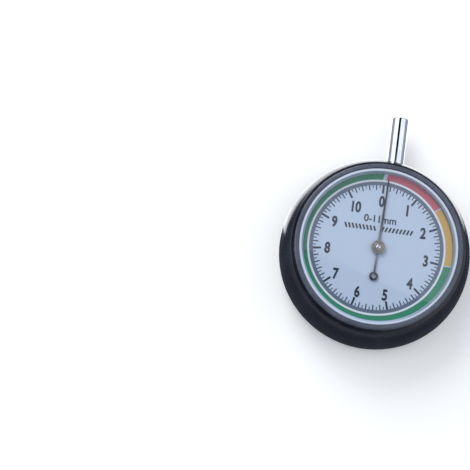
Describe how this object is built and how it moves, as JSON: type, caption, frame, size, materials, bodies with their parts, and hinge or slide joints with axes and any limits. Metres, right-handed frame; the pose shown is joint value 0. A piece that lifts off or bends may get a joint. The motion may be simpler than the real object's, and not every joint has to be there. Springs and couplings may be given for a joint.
{
  "type": "tire tread gauge",
  "caption": "Round dial tyre tread depth gauge: a sliding chrome sleeve round a fixed measuring pin drives a pointer once round a printed millimetre dial.",
  "frame": {"origin": "middle of the flat back face, on the axis of the pointer", "axes": "+Z out through the dial; +Y parallel to the measuring stem, 12 o'clock; +X to 3 o'clock"},
  "size_m": [0.0456, 0.0561, 0.0142],
  "materials": {
    "black_case": "glossy black moulded plastic",
    "black_bezel": "polished black snap ring",
    "clear_lens": "clear polished acrylic",
    "dial": "satin white enamel with printed scale",
    "needle_black": "satin black paint",
    "chrome": "bright chrome plate",
    "hard_steel": "turned and hardened steel",
    "spring_steel": "drawn spring steel",
    "black_steel": "black oxide steel",
    "brass": "milled brass"
  },
  "bodies": {
    "case": {"case_body": "black_case", "back_cover": "black_case", "bezel_ring": "black_bezel", "lens": "clear_lens", "dial_plate": "dial", "lower_plate": "brass", "upper_bridge": "brass", "lower_bush": "hard_steel", "upper_bush": "hard_steel", "hairspring_stud": "brass", "stem_bush": "chrome", "measuring_pin": "hard_steel", "pin_anchor": "brass", "pin_anchor_screw": "hard_steel", "pin_clamp_screw": "hard_steel", "rack_guide": "brass", "rack_guide_screw_1": "hard_steel", "rack_guide_screw_2": "hard_steel", "spring_post_fixed": "hard_steel", "return_spring": "spring_steel", "cover_screw_1": "black_steel", "cover_screw_2": "black_steel", "cover_screw_3": "black_steel", "cover_screw_4": "black_steel", "movement_screw_1": "hard_steel", "bridge_screw_1": "hard_steel", "pillar_1": "brass", "movement_screw_2": "hard_steel", "bridge_screw_2": "hard_steel", "pillar_2": "brass", "movement_screw_3": "hard_steel", "bridge_screw_3": "hard_steel", "pillar_3": "brass"},
    "plunger": {"measuring_sleeve": "chrome", "rack_carriage": "brass", "rack": "hard_steel", "rack_rivet": "hard_steel", "spring_post_moving": "hard_steel"},
    "pointer": {"pointer_arbor": "hard_steel", "pointer_hub": "hard_steel", "pointer_needle": "needle_black", "hairspring_collet": "brass", "hairspring": "spring_steel"}
  },
  "joints": [
    {"name": "sleeve_slide", "type": "slide", "parent": "case", "child": "plunger", "axis": [0, -1, 0], "range_m": [0, 0.011], "stiffness_N_per_m": 60, "springref_m": -0.005, "deforming": ["return_spring"]},
    {"name": "pointer_turn", "type": "hinge", "parent": "case", "child": "pointer", "pos_m": [0, 0, 0.0062], "axis": [0, 0, -1], "range_deg": [-2, 362], "deforming": ["hairspring"]}
  ],
  "couplings": [
    {"joint": "pointer_turn", "follows": "sleeve_slide", "rad_per_m": 571.43}
  ]
}
